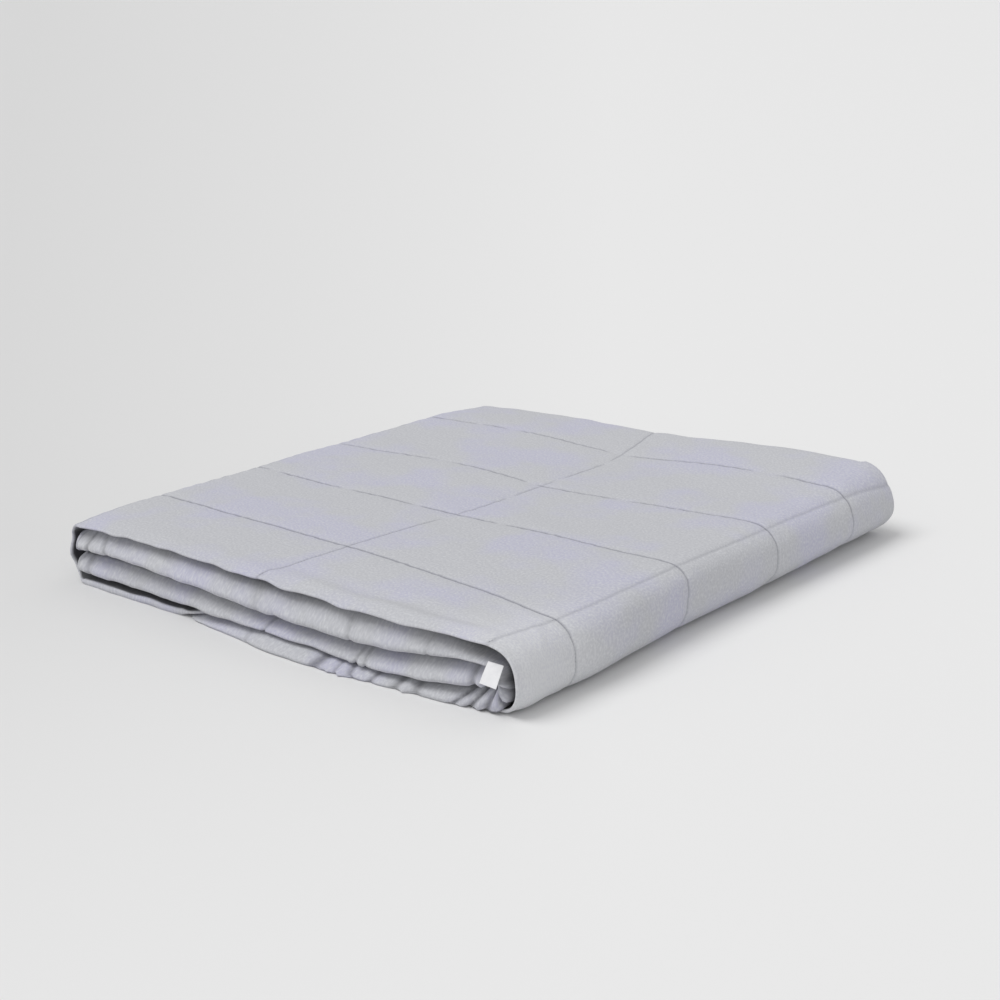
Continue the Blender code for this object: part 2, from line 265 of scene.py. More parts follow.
# How far the hem of the outer layer and the bulge of the others stand back from the front, in mm.
setbacks = {
    # place along the part from 0 to 1, hem, bulge
    underPart: (
        (0.00, 14, 10), (0.03, 15, 3), (0.09, 16, 0), (0.22, 16, -5), (0.36, 16, -13), (0.55, 16, -12),
        (0.68, 16, -6), (0.78, 16, -2), (0.90, 16, 3), (0.97, 16, 7),
    ),
    rightFold: (
        (0.15, 13, 7), (0.35, 8, 5), (0.60, 4, 4), (0.90, 1, 4),
    ),
    topPart: (
        (0.06, 0, 4), (0.20, -1, -1), (0.42, 0, -3), (0.75, 0, -3), (0.94, 1, 0),
    ),
    leftFold: (
        (0.04, 2, 1), (0.16, 5, 2), (0.30, 10, 4), (0.42, 13, 18), (0.55, 9, 20), (0.66, 12, 8),
        (0.80, 10, 3), (0.95, 5, 2),
    ),
    middlePart: (
        (0.05, 4, 2), (0.26, 4, 0), (0.31, 8, -1), (0.40, 18, -1), (0.83, 18, 0), (0.92, 18, 3),
        (1.00, 18, 8),
    ),
}
# How far the inner layers shrink away from the outer one at the front, and how far the bulge of a strip
# that lies turned over spreads down over its own hem, as shares. The swell, in mm, fills a fold's middle.
# Dark is how much painted shade darkens the grooves between the layers, where little light gets in.
fronts = {
    # place along the part, shrink, spread, swell, dark
    underPart: (
        (0.00, 0.00, 1.0, 0, 0.3), (0.90, 0.00, 1.0, 0, 0.5), (0.98, 0.03, 1.0, 2, 0.8),
    ),
    rightFold: (
        (0.10, 0.08, 1.0, 5, 1.0), (0.30, 0.28, 1.0, 9, 1.0), (0.50, 0.38, 1.0, 8, 1.0),
        (0.70, 0.48, 1.0, 6, 1.0), (0.88, 0.50, 1.0, 3, 1.0),
    ),
    topPart: (
        (0.03, 0.40, 0.0, 1, 1.0), (0.07, 0.20, 0.0, 0, 0.8), (0.12, 0.06, 0.0, 0, 0.6),
        (0.18, 0.00, 0.0, 0, 0.3), (0.50, 0.00, 0.0, 0, 0.7), (0.97, 0.00, 0.0, 0, 0.2),
    ),
    leftFold: (
        (0.20, 0.12, 0.0, 0, 0.6), (0.28, 0.40, 0.0, 0, 0.9), (0.35, 0.75, 0.0, 0, 1.0),
        (0.44, 0.88, 0.0, 0, 1.0), (0.54, 0.90, 0.0, 0, 1.0), (0.63, 0.86, 0.0, 0, 1.0),
        (0.71, 0.72, 0.0, 0, 1.0), (0.80, 0.45, 0.0, 0, 1.0), (0.92, 0.18, 0.0, 0, 0.9),
    ),
    middlePart: (
        (0.03, 0.10, 0.0, 0, 0.9), (0.28, 0.11, 0.0, 0, 0.9), (0.38, 0.00, 1.0, 0, 0.05),
        (0.85, 0.00, 1.0, 0, 0.1), (1.00, 0.00, 1.0, 0, 0.8),
    ),
}
# Pleats across the front bulges.
pleats = {
    # place along the part, height in mm, half width in mm, lean
    underPart: (
        (0.250, -1.2, 3, 0.4), (0.500, -4.0, 6, -0.3), (0.540, 2.2, 3, 0.2), (0.560, -2.2, 2, 0.2),
        (0.575, 2.0, 2, 0.3), (0.600, -3.0, 3, 0.6), (0.665, -3.0, 3, -0.2), (0.735, -3.0, 4, -0.2),
        (0.760, 2.6, 3, 0.0), (0.788, -2.6, 5, 0.2), (0.915, -3.6, 3, -1.1), (0.940, 2.0, 3, -1.0),
        (0.962, -4.4, 3, -0.9), (0.985, 2.4, 3, -0.7),
    ),
    rightFold: (
        (0.020, -4.6, 3, -0.5), (0.095, 1.8, 3, -0.2), (0.170, -6.0, 3, 0.0), (0.260, 2.4, 4, 0.0),
        (0.360, -2.8, 3, 0.0), (0.430, 1.6, 3, 0.0), (0.500, -1.8, 3, 0.0), (0.700, 1.0, 8, 0.0),
    ),
    leftFold: (
        (0.02, -2.2, 2.5, 0.0), (0.20, 1.4, 4, 0.0), (0.36, -2.0, 4, 0.0), (0.70, -2.0, 4, 0.0),
    ),
    middlePart: (
        (0.020, -1.6, 4, 0.3), (0.060, 1.2, 5, 0.5), (0.497, -1.8, 2, -0.5), (0.700, 1.0, 2, -0.2),
        (0.709, -1.6, 2, -0.2), (0.718, 1.2, 2, 0.2), (0.727, -1.4, 2, 0.2), (0.955, -2.4, 4, 0.1),
        (0.972, 1.8, 3, 0.1), (0.990, -3.4, 3, 0.1),
    ),
    topPart: (
        (0.131, -0.8, 2, 0.0), (0.299, -1.2, 3, 0.4), (0.520, -0.8, 8, 0.4), (0.720, 0.7, 8, 0.3),
        (0.930, -1.8, 3, 0.9), (0.971, -2.2, 2.5, 0.1),
    ),
}
# Soft creases of the outer layer. Their x runs on over the right fold.
creases = (
    # start x and y, end x and y, height in mm, half width in mm
    (0.235, -0.300, 0.315, -0.215, -1.0, 12),
    (0.262, -0.252, 0.300, -0.290, 0.9, 8),
    (0.200, -0.245, 0.262, -0.262, -0.7, 7),
    (0.285, -0.120, 0.345, -0.190, -0.7, 13),
    (0.290, 0.020, 0.350, 0.060, 0.7, 14),
    (0.060, -0.275, 0.200, -0.310, -0.6, 12),
    (-0.240, -0.320, -0.150, -0.250, 0.6, 16),
    (-0.180, -0.050, -0.050, 0.010, -0.5, 22),
    (0.040, 0.130, 0.190, 0.190, 0.6, 24),
    (0.080, -0.180, 0.210, -0.130, 0.5, 24),
    (-0.240, 0.130, -0.080, 0.180, 0.5, 20),
)
# Places where the filling closes over a seam.
rowGaps = (
    # row seam from the front, x, half length in mm
    (1, -0.262, 10),
    (1, -0.150, 11),
    (1, -0.050, 6),
    (1, 0.060, 7),
    (2, -0.140, 14),
    (2, -0.010, 10),
    (2, 0.105, 11),
    (3, -0.215, 6),
    (3, -0.165, 13),
    (3, 0.000, 18),
    (3, 0.180, 20),
)
columnGaps = (
    # column seam from the ground end, y, half length in mm
    (2, -0.090, 12),
    (2, 0.020, 9),
    (2, 0.110, 10),
    (2, 0.200, 8),
    (3, -0.200, 30),
    (3, 0.040, 40),
    (3, 0.250, 30),
)
frontRoll = (
    # x, depth in mm of the valley behind the roll, drop of the edge in mm
    (-0.30, 0.0, 0.2),
    (-0.12, 0.3, 0.6),
    (0.00, 1.0, 1.2),
    (0.08, 2.2, 2.2),
    (0.15, 3.2, 2.4),
    (0.22, 2.4, 1.6),
    (0.262, 0.6, 0.6),
    (0.30, 0.0, 0.0),
)

halfDepth = blanket["depth"] / 2
stripHeight = 3 * blanket["layerPitch"]
air = (blanket["layerPitch"] - blanket["cellThick"]) / 2
bulgeRadius = (stripHeight - blanket["hemThick"] - 3 * air - blanket["cellThick"]) / 2
bulgeY = halfDepth - bulgeRadius - blanket["cellThick"] / 2
widthParts = np.array([
    blanket["rightFoldX"] - blanket["underEndX"],
    blanket["rightFoldLong"],
    blanket["rightFoldX"] - blanket["leftFoldX"],
    blanket["leftFoldLong"],
    blanket["tuckedEndX"] - blanket["leftFoldX"],
])
widthStarts = np.concatenate([[0.0], np.cumsum(widthParts)])
lengthParts = np.array([
    halfDepth + bulgeY,
    math.pi * bulgeRadius,
    2 * bulgeY,
    math.pi * bulgeRadius,
    halfDepth + bulgeY,
])
lengthStarts = np.concatenate([[0.0], np.cumsum(lengthParts)])
frontNose = lengthStarts[frontBulge] + lengthParts[frontBulge] / 2
backNose = lengthStarts[backBulge] + lengthParts[backBulge] / 2
clothWide, clothLong = widthStarts[-1], lengthStarts[-1]
outerRows = [blanket["firstRow"] + blanket["outerRowPitch"] * i for i in range(4)]
hiddenRows = [outerRows[-1] + blanket["rowPitch"] * i for i in range(1, 10)]
rowSeams = [*outerRows, *hiddenRows]
columnSeams = list(blanket["columns"])
# Changes of the folded stack's plan: by how much, and the x, y and z over which each grows.
planShifts = {
    # the back right corner is pushed back, and the right fold bellies out towards it
    "backReach": (8 * mm, (0.05, 0.25), (0.15, halfDepth), None),
    "belly": (7 * mm, (0.20, 0.30), (0.0, 0.30), None),
    # the right fold is drawn in low down in its middle, at its front, and at its foot towards the back
    "waist": (-6 * mm, (0.24, 0.29), None, (0.07, 0.03)),
    "frontTuck": (-9 * mm, (0.20, 0.29), (-0.20, -halfDepth), None),
    "footTuck": (-8 * mm, (0.24, 0.29), (-0.05, 0.25), (0.035, 0.0)),
    # the left fold spreads at its front, and the back left corner is round
    "frontFlare": (-6 * mm, (-0.22, -0.29), (-0.27, -halfDepth), (0.0, 0.02)),
    "cornerRound": (14 * mm, (-0.20, -0.30), (0.24, halfDepth), None),
}
waistBand = (-0.07, 0.12)                 # the waist's middle in y, and its half width
flareTop = (0.066, 0.048)                 # the z over which the left fold's spread ends


def partAt(place, starts):
    # which of five parts a place lies in
    return np.clip(np.searchsorted(starts, place, side="right") - 1, 0, 4)


def placed(table):
    # a table's rows, with the place along their part as a distance across the cloth
    return [(widthStarts[part] + widthParts[part] * place, *rest)
            for part, rows in table.items() for place, *rest in rows]


def topAcross(x):
    return widthStarts[topPart] + blanket["rightFoldX"] - x


def underOuter(down, over):
    # 0 on the outer layer, 1 on the layers under it
    return smooth(down, lengthStarts[middleLayer], lengthStarts[middleLayer] + over)


def nearFront(y):
    return smooth(-y, halfDepth - blanket["frontBand"], halfDepth)


def flipShare(share, overTurned):
    # a share of the way through a strip, counted the other way where the strip lies turned over
    return share * (1 - overTurned) + (1 - share) * overTurned


def slideAcross(across, down):
    # the outer layer slides along itself, so that its column seams wander
    over = blanket["slideOver"]
    y = np.minimum(down - halfDepth, halfDepth)
    shifts = [tableAt(columnDrift, i, y) for i in (1, 2)]
    knots = [widthStarts[rightFold] - over, columnSeams[1], columnSeams[2], widthStarts[leftFold]]
    weights = [np.interp(across, knots, [0, 0, 1, 0]), np.interp(across, knots, [0, 1, 0, 0])]
    fade = 1 - underOuter(down, over)
    return across - (weights[0] * shifts[0] + weights[1] * shifts[1]) * mm * fade


def alongWidth(across):
    # where a distance across the cloth lies in the letter fold, and how far the cloth is turned over there
    part = partAt(across, widthStarts)
    share = (across - widthStarts[part]) / widthParts[part]
    left, right = blanket["leftFoldX"], blanket["rightFoldX"]
    x = np.select([part == underPart, part == rightFold, part == topPart, part == leftFold],
                  [blanket["underEndX"] + widthParts[underPart] * share, right,
                   right - widthParts[topPart] * share, left],
                  left + widthParts[middlePart] * share)
    turned = np.select([part == rightFold, part == topPart, part == leftFold],
                       [math.pi * (1 - share), 0.0, math.pi * share], math.pi)
    # the right fold goes from the ground round the middle strip to the top, the left one from there into
    # the middle strip
    onRight = part <= rightFold
    return {
        "across": across, "part": part, "x": x, "turned": turned,
        "overTurned": (1 - np.cos(turned)) / 2,
        "side": np.select([part == rightFold, part == leftFold], [1.0, -1.0], 0.0),
        "centreZ": np.where(onRight, 4.5, 6.0) * blanket["layerPitch"],
        "inner": np.where(onRight, 1.5, 0.0) * blanket["layerPitch"],
        "strip": np.select([part == underPart, part == topPart, part == leftFold], [0, 2, 2], 1),
    }


def noseReach(low, turn, overTurned):
    # how far a front bulge stands out, as a share: low down where the strip lies flat, round in a fold
    flat = np.abs(1 - 2 * overTurned)
    skew = blanket["noseSkew"] - blanket["turnedSkew"] * overTurned
    return np.sin(math.pi * low ** skew) * flat + np.sin(math.pi * turn) * (1 - flat)


def alongLength(down, overTurned, grounded, deep):
    # where a distance down the cloth lies in the Z fold: y, height in the strip, and the cloth's normal
    part = partAt(down, lengthStarts)
    run = down - lengthStarts[part]
    angle = run / bulgeRadius
    turn = np.clip(angle / math.pi, 0.0, 1.0)
    low = flipShare(turn, overTurned)
    foot = grounded * blanket["footFull"] * smooth(low, *blanket["footRange"])
    nose = np.maximum(noseReach(low, turn, overTurned), foot)
    reach = np.where(part == frontBulge, nose, np.sin(angle))
    bulgeLow = air + blanket["cellThick"] / 2
    hemLow = air + blanket["hemThick"] / 2
    frontHigh = bulgeLow + 2 * bulgeRadius
    backLow = stripHeight - frontHigh
    y = np.select(
        [part == outerLayer, part == backBulge, part == middleLayer, part == frontBulge],
        [run - halfDepth, bulgeY + bulgeRadius * reach, bulgeY - run, -bulgeY - bulgeRadius * reach],
        run - bulgeY)
    inFront = (part == frontBulge) | ((part >= middleLayer) & (y < 0))
    groove = np.where(part == frontBulge, 1 - reach, smooth(-y, bulgeY - blanket["deepOver"], bulgeY))
    y = y + np.where(inFront, deep * groove, 0.0)
    layers = [part == outerLayer, part == middleLayer]
    flat = np.select(layers, [2.5, 1.5], 0.5) * blanket["layerPitch"]    # the layers' middles
    front = np.select(layers, [stripHeight - hemLow, frontHigh], bulgeLow)
    back = np.select(layers, [stripHeight - bulgeLow, backLow], hemLow)
    bandStart = bulgeY - blanket["edgeBand"]
    height = flat + (front - flat) * smooth(-y, bandStart, bulgeY)
    height = height + (back - flat) * smooth(y, bandStart, bulgeY)
    rise = bulgeRadius * np.cos(angle)
    height = np.where(part == backBulge, (stripHeight - bulgeLow + backLow) / 2 + rise, height)
    height = np.where(part == frontBulge, (frontHigh + bulgeLow) / 2 + rise, height)
    inBulge = (part == backBulge) | (part == frontBulge)
    return {
        "part": part, "y": y, "height": height,
        "outY": np.where(inBulge, reach, 0.0),
        "outZ": np.select([part == backBulge, part == middleLayer, part == frontBulge],
                          [np.cos(angle), -1.0, -np.cos(angle)], 1.0),
    }


def toSeam(place, seams):
    return np.min(np.abs(np.subtract.outer(place, np.array(seams))), axis=-1)


def seamOpen(across, down):
    # 1 where a seam shows, 0 where the filling closes over it, for the row seams and the column seams
    rows, columns = 0.0, 0.0
    for row, x, half in rowGaps:
        near = bell(down - outerRows[row], blanket["gapWide"])
        rows = rows + near * bell(topAcross(x) - across, half * mm)
    for column, y, half in columnGaps:
        near = bell(across - columnSeams[column], blanket["gapWide"])
        columns = columns + near * bell(down - halfDepth - y, half * mm)
    columns = columns + blanket["hiddenClosed"] * underOuter(down, blanket["fadeOver"])
    return [1 - np.clip(blanket["gapFull"] * closed, 0.0, 1.0) for closed in (rows, columns)]


def clothThickness(across, down):
    # full in a cell, drawn in at its seams, thin and round at the hem all round
    toRow, toColumn = toSeam(down, rowSeams), toSeam(across, columnSeams)
    draw, hem = blanket["seamDraw"], blanket["hemThick"]
    fill = (1 - np.exp(-toRow / draw)) * (1 - np.exp(-toColumn / draw))
    thick = blanket["seamThick"] + (blanket["cellThick"] - blanket["seamThick"]) * fill
    rowOpen, columnOpen = seamOpen(across, down)
    rowCut = blanket["rowGroove"] * bell(toRow, blanket["grooveWide"]) * rowOpen
    columnCut = blanket["columnGroove"] * bell(toColumn, blanket["grooveWide"]) * columnOpen
    thick = thick - np.maximum(rowCut, columnCut)
    toHem = np.minimum(np.minimum(across, clothWide - across), np.minimum(down, clothLong - down))
    thick = hem + (thick - hem) * smooth(toHem, *blanket["hemReach"])
    edge = np.clip(toHem / (hem / 2), 0.0, 1.0)
    return thick * np.sqrt(np.maximum(1 - (1 - edge) ** 2, blanket["rim"]))


def channelShade(across, down):
    # how much painted shade darkens the cloth in a sewn channel, where it is drawn together and little
    # light gets in
    rowOpen, columnOpen = seamOpen(across, down)
    onSide = 1 - smooth(across, widthStarts[topPart] - blanket["fadeOver"], widthStarts[topPart])
    rowShade = bell(toSeam(down, rowSeams), blanket["channelWide"]) * rowOpen
    rowShade = rowShade * (1 - blanket["sideFade"] * onSide)
    columnShade = bell(toSeam(across, columnSeams), blanket["channelWide"]) * columnOpen
    return np.maximum(rowShade, blanket["columnShade"] * columnShade)


def grooveShade(across, down):
    # how much painted shade darkens the inner face in the grooves at the front, behind the hem and away
    # from a bulge's nose, and in the valleys of the pleats
    part = partAt(down, lengthStarts)
    turn = np.clip((down - lengthStarts[frontBulge]) / lengthParts[frontBulge], 0.0, 1.0)
    overTurned = alongWidth(across)["overTurned"]
    inFold = 1 - np.abs(1 - 2 * overTurned)
    darkAt, clearAt = [flat + more * inFold for flat, more in blanket["noseShade"]]
    lit = smooth(noseReach(flipShare(turn, overTurned), turn, overTurned), darkAt, clearAt)
    behindNose = np.where(part == frontBulge, 1 - lit, 1.0)
    behindNose = behindNose * (part >= middleLayer) * (np.abs(down - frontNose) < bulgeY)
    behindHem = smooth(down, *blanket["hemShade"]) * (part == outerLayer)
    dark = tableAt(placed(fronts), 4, across) * np.maximum(behindNose, behindHem)
    fullDepth, most, wide = blanket["pleatShade"]
    valley = np.clip(-pleatHeight(across, down) / fullDepth, 0.0, most) * bell(down - frontNose, wide)
    return np.maximum(dark, valley)


def driftRows(x, down):
    # shift to the back of the outer layer, which carries its row seams
    knots = [0.0, *outerRows, lengthStarts[backBulge]]
    shifts = [0.0, *(tableAt(rowDrift, i, x) for i in (1, 2, 3, 4)), 0.0]
    drift = 0.0
    for start, end, first, last in zip(knots, knots[1:], shifts, shifts[1:]):
        inside = (down >= start) & (down < end)
        drift = drift + np.where(inside, first + (last - first) * smooth(down, start, end), 0.0)
    return drift * mm


def stackLevels(x, y):
    # undersides of the strips and the crown at a place in plan
    front = nearFront(y)
    levels = [tableAt(frontStack, i, x) * front + tableAt(innerStack, i, x) * (1 - front)
              for i in (1, 2, 3)]
    less, *ease = blanket["liftEase"]
    lift = blanket["backLift"] * smooth(x, *blanket["liftX"]) * (1 - less * smooth(x, *ease))
    crown = levels[2] + lift * smooth(y, blanket["liftY"], halfDepth)
    crown = crown + blanket["crownRipple"] * crossedRipples(x, y, waves["crown"])
    return [np.zeros_like(crown), np.maximum(levels[0], 0.0), levels[1], crown]


def restack(z, levels):
    # carry heights of the even stack over to the real one
    base = [air, stripHeight, 2 * stripHeight, 3 * stripHeight]
    result = levels[0] + np.zeros_like(z)
    for i in range(3):
        share = (z - base[i]) / (base[i + 1] - base[i])
        inside = share > 0 if i == 2 else (share > 0) & (share <= 1)
        result = np.where(inside, levels[i] + (levels[i + 1] - levels[i]) * share, result)
    return result


def foldTurn(letter, radius):
    # a point at a radius from the fold's centre, with the fold a little square and slumped at its foot
    out, up = np.sin(letter["turned"]), np.cos(letter["turned"])
    squaredOut = np.abs(out) ** blanket["foldSquareness"]
    squaredUp = np.sign(up) * np.abs(up) ** blanket["foldSquareness"]
    inFold = letter["side"] != 0
    x = letter["x"] + letter["side"] * radius * np.where(inFold, squaredOut, 0.0)
    z = letter["centreZ"] + radius * np.where(inFold, squaredUp, np.sign(up))
    slump = blanket["foldSlump"] * out * (1 - z / (3 * stripHeight))
    return x + np.where(letter["side"] > 0, slump, 0.0), z


def clothPoints(across, down, face, lift):
    # places of one face of the cloth, 1 or -1, raised by lift along the cloth's normal
    half = clothThickness(across, down) / 2
    letter = alongWidth(slideAcross(across, down))
    overTurned = letter["overTurned"]
    foldShare = (letter["across"] - widthStarts[rightFold]) / widthParts[rightFold]
    comes, goes = blanket["endRange"]
    atEnd = smooth(foldShare, *comes) * (1 - smooth(foldShare, *goes))
    grounded = 1 - smooth(foldShare, *blanket["footFade"])
    layer = alongLength(down, overTurned, grounded, blanket["noseDeep"] + blanket["endDeep"] * atEnd)
    outer = layer["part"] == outerLayer
    inner = layer["part"] >= middleLayer
    y = layer["y"] + np.where(outer, driftRows(topAcross(0) - letter["across"], down), 0.0)
    onGround = (letter["part"] == underPart) & outer & (face > 0)
    half = np.where(onGround, stripHeight - air - layer["height"], half)

    # where the stack opens up the cloth keeps its thickness, and the air between grows
    levels = stackLevels(letter["x"] + 0 * y, y)
    room = np.select([letter["strip"] == 0, letter["strip"] == 1],
                     [levels[1], levels[2] - levels[1]], levels[3] - levels[2]) / stripHeight
    stretch = 1 + (np.maximum(room, 1.0) - 1) * np.abs(np.cos(letter["turned"]))
    offset = face * half + np.where(onGround, 0.0, lift)
    hemOnGround = (letter["part"] == middlePart) & outer & (letter["x"] < blanket["underEndX"])
    stretch = np.where(onGround, 1.0, np.where(hemOnGround, 1 / blanket["groundHem"], stretch))

    atFront, hem = nearFront(y), blanket["hemThick"]
    atNose = smooth(-y, *(halfDepth - back for back in blanket["noseBand"])) * inner
    shrink, spread, swell = (tableAt(placed(fronts), i, letter["across"]) for i in (1, 2, 3))
    height = layer["height"] + layer["outZ"] * offset / stretch
    height = height * (1 - shrink * atFront * inner)
    height = height * (1 + spread * overTurned * atNose * hem / (stripHeight - hem))
    share = height / stripHeight
    x, z = foldTurn(letter, letter["inner"] + height - swell * mm * (1 - share) * atFront * inner)
    z = np.maximum(restack(z, stackLevels(x, y)), 0.0)

    hemBack, bulgeBack = (tableAt(placed(setbacks), i, letter["across"]) for i in (1, 2))
    hemBack = hemBack + blanket["hemWave"] * ripple(letter["across"], *waves["hem"])
    setback = np.where(inner, bulgeBack, hemBack)
    lean = flipShare(share, overTurned) - blanket["droopMiddle"]
    y = y + layer["outY"] * offset + atFront * setback * mm + blanket["droop"] * lean * atNose
    x = x - blanket["innerFlare"] * inner * atFront * (letter["side"] < 0) * np.sin(letter["turned"])
    return shapePlan(x, y, z, letter)


def planShift(name, x, y, z):
    shift, *ranges = planShifts[name]
    for value, grows in zip((x, y, z), ranges):
        if grows:
            shift = shift * smooth(value, *grows)
    return shift


def shapePlan(x, y, z, letter):
    middle, wide = waistBand
    y = y + planShift("backReach", x, y, z)
    x = x + planShift("belly", x, y, z) * np.sin(letter["turned"])
    x = x + planShift("waist", x, y, z) * bell(y - middle, wide)
    x = x + planShift("frontTuck", x, y, z)
    x = x + planShift("frontFlare", x, y, z) * smooth(z, *flareTop)
    x = x + planShift("footTuck", x, y, z)
    corner = planShift("cornerRound", x, y, z)
    shiftX, shiftY = blanket["centreShift"]
    return np.stack([x + corner + shiftX, y - corner + shiftY, z], axis=-1)


def frontRollLift(across, down):
    # only on the outer layer of the top part
    x = topAcross(0) - across
    depth, drop = tableAt(frontRoll, 1, x), tableAt(frontRoll, 2, x)
    crestDown, crestWide, crestHigh = blanket["crest"]
    valleyDown, valleyWide, wander = blanket["valley"]
    valleyDown = valleyDown + wander * ripple(x, *waves["valley"])
    waveHigh, waveWide = blanket["edgeWave"]
    lift = crestHigh * depth * bell(down - crestDown, crestWide)
    lift = lift - depth * bell(down - valleyDown, valleyWide)
    lift = lift + waveHigh * ripple(x, *waves["edge"]) * bell(down, waveWide)
    lift = lift - drop * bell(down, blanket["edgeDrop"])
    onTop = (across > widthStarts[topPart] - blanket["pastRoll"]) & (across < widthStarts[leftFold])
    return lift * mm * onTop * (down < lengthStarts[backBulge])


def creaseLift(across, down):
    x, y = topAcross(0) - across, down - halfDepth
    ends = blanket["creaseEnds"]
    total = 0.0
    for startX, startY, endX, endY, height, width in creases:
        length = math.hypot(endX - startX, endY - startY)
        wayX, wayY = (endX - startX) / length, (endY - startY) / length
        run = ((x - startX) * wayX + (y - startY) * wayY) / length
        aside = (y - startY) * wayX - (x - startX) * wayY
        total = total + height * mm * bell(aside, width * mm) * smooth(run, *ends) * smooth(1 - run, *ends)
    return total * (down < lengthStarts[backBulge])


def pleatHeight(across, down):
    total = 0.0
    for at, height, width, lean in placed(pleats):
        total = total + height * mm * bell(across - at + lean * (down - frontNose), width * mm)
    return total


def pleatLift(across, down):
    # the outside of a front bulge is the cloth's other face, so a ridge is a negative lift
    fromNose = down - frontNose
    fine = ripple(across + blanket["slant"] * fromNose, *waves["pleats"])
    total = pleatHeight(across, down) + blanket["pleatRipple"] * fine
    onGround = 1 - smooth(across, *(widthStarts[rightFold] + past for past in blanket["footEnd"]))
    aboveFoot = 1 - onGround * (1 - smooth(fromNose, *blanket["footFlat"]))
    return -total * bell(fromNose, blanket["noseWide"]) * aboveFoot


def puckerLift(across, down):
    # the sewing draws the cloth into small waves beside each seam
    start, end = blanket["puckerReach"]
    total = 0.0
    kinds = ((down, across, rowSeams, "rowPuckers"), (across, down, columnSeams, "columnPuckers"))
    for place, other, seams, name in kinds:
        near = toSeam(place, seams)
        reach = np.exp(-near / end) * (1 - np.exp(-near / start))
        total = total + ripple(other + blanket["slant"] * place, *waves[name]) * reach
    return blanket["puckerHigh"] * total


def clothLift(across, down):
    # all that raises or lowers the cloth along its normal
    back = ripple(across, *waves["backBulge"]) * bell(down - backNose, blanket["noseWide"])
    lift = blanket["rippleHigh"] * crossedRipples(across, down, waves["cloth"])
    lift = lift + blanket["backRipple"] * back + frontRollLift(across, down) + creaseLift(across, down)
    return lift + pleatLift(across, down) + puckerLift(across, down)


def sheetMesh(name, points, backs, flat, shown=None, shades=None):
    # a closed sheet from two grids of points, with its flat coordinates as a UV map
    rows, columns = points.shape[:2]
    count = rows * columns
    index = np.arange(count).reshape(rows, columns)
    a, b, c, d = index[:-1, :-1], index[:-1, 1:], index[1:, 1:], index[1:, :-1]
    front = np.stack([a, b, c, d], -1).reshape(-1, 4)
    under = np.stack([a, d, c, b], -1).reshape(-1, 4) + count
    rim = np.concatenate([index[:, 0], index[-1, 1:], index[-2::-1, -1], index[0, -2:0:-1]])
    ahead = np.roll(rim, -1)
    edge = np.stack([rim, ahead, ahead + count, rim + count], -1)
    vertices = np.concatenate([points.reshape(-1, 3), backs.reshape(-1, 3)])
    mesh = bpy.data.meshes.new(name)
    mesh.from_pydata(vertices.tolist(), [], np.concatenate([front, under, edge]).tolist())
    corners = np.zeros(len(mesh.loops), int)
    mesh.loops.foreach_get("vertex_index", corners)
    layer = mesh.uv_layers.new(name="cloth")
    layer.data.foreach_set("uv", np.concatenate([flat.reshape(-1, 2)] * 2)[corners].ravel())
    mesh.shade_smooth()
    piece = bpy.data.objects.new(name, mesh)
    bpy.context.scene.collection.objects.link(piece)
    if shown is not None:
        group = piece.vertex_groups.new(name="hidden")
        group.add(np.flatnonzero(~shown.reshape(-1)).tolist(), 1.0, "REPLACE")
    for shade, values in (shades or {}).items():
        layer = mesh.attributes.new(shade, "FLOAT", "POINT")
        layer.data.foreach_set("value", np.concatenate([side.ravel() for side in values]))
    pointOutwards(piece)
    return piece


def pointOutwards(piece):
    work = bmesh.new()
    work.from_mesh(piece.data)
    if work.calc_volume(signed=True) < 0:
        bmesh.ops.reverse_faces(work, faces=work.faces)
    work.to_mesh(piece.data)
    work.free()


def applyModifiers(piece):
    # the evaluated mesh takes the place of the piece's own
    evaluated = piece.evaluated_get(bpy.context.evaluated_depsgraph_get())
    mesh = bpy.data.meshes.new_from_object(evaluated)
    piece.modifiers.clear()
    piece.data = mesh
    mesh.name = piece.name


# Where the cloth's points stand, close where it bends sharply. Steps are in mm.
stations = {
    "edge": (0, 0.5, 1.2, 2, 3.5, 6, 10),
    "across": (
        # coarse, fine, and how far the fine steps reach, for each part
        (7, 1.4, 20), (3.2, 1.6, 8), (4.5, 0.9, 15), (3.2, 1.2, 8), (7, 1.2, 15)),
    "outer": (4.5, 0.9),                  # coarse, and fine at the row seams
    "bulge": 2.2,
    "hidden": 60,
    "innerHem": 8,
    "pastBulge": 30,                      # how far a bulge's steps run on
    "hemLong": 50,
    # what can be seen from outside is not thinned: the top, both folds and a bit past them, and this deep
    # in at the front and the back
    "shownPast": 30,
    "shownDeep": 20,
}


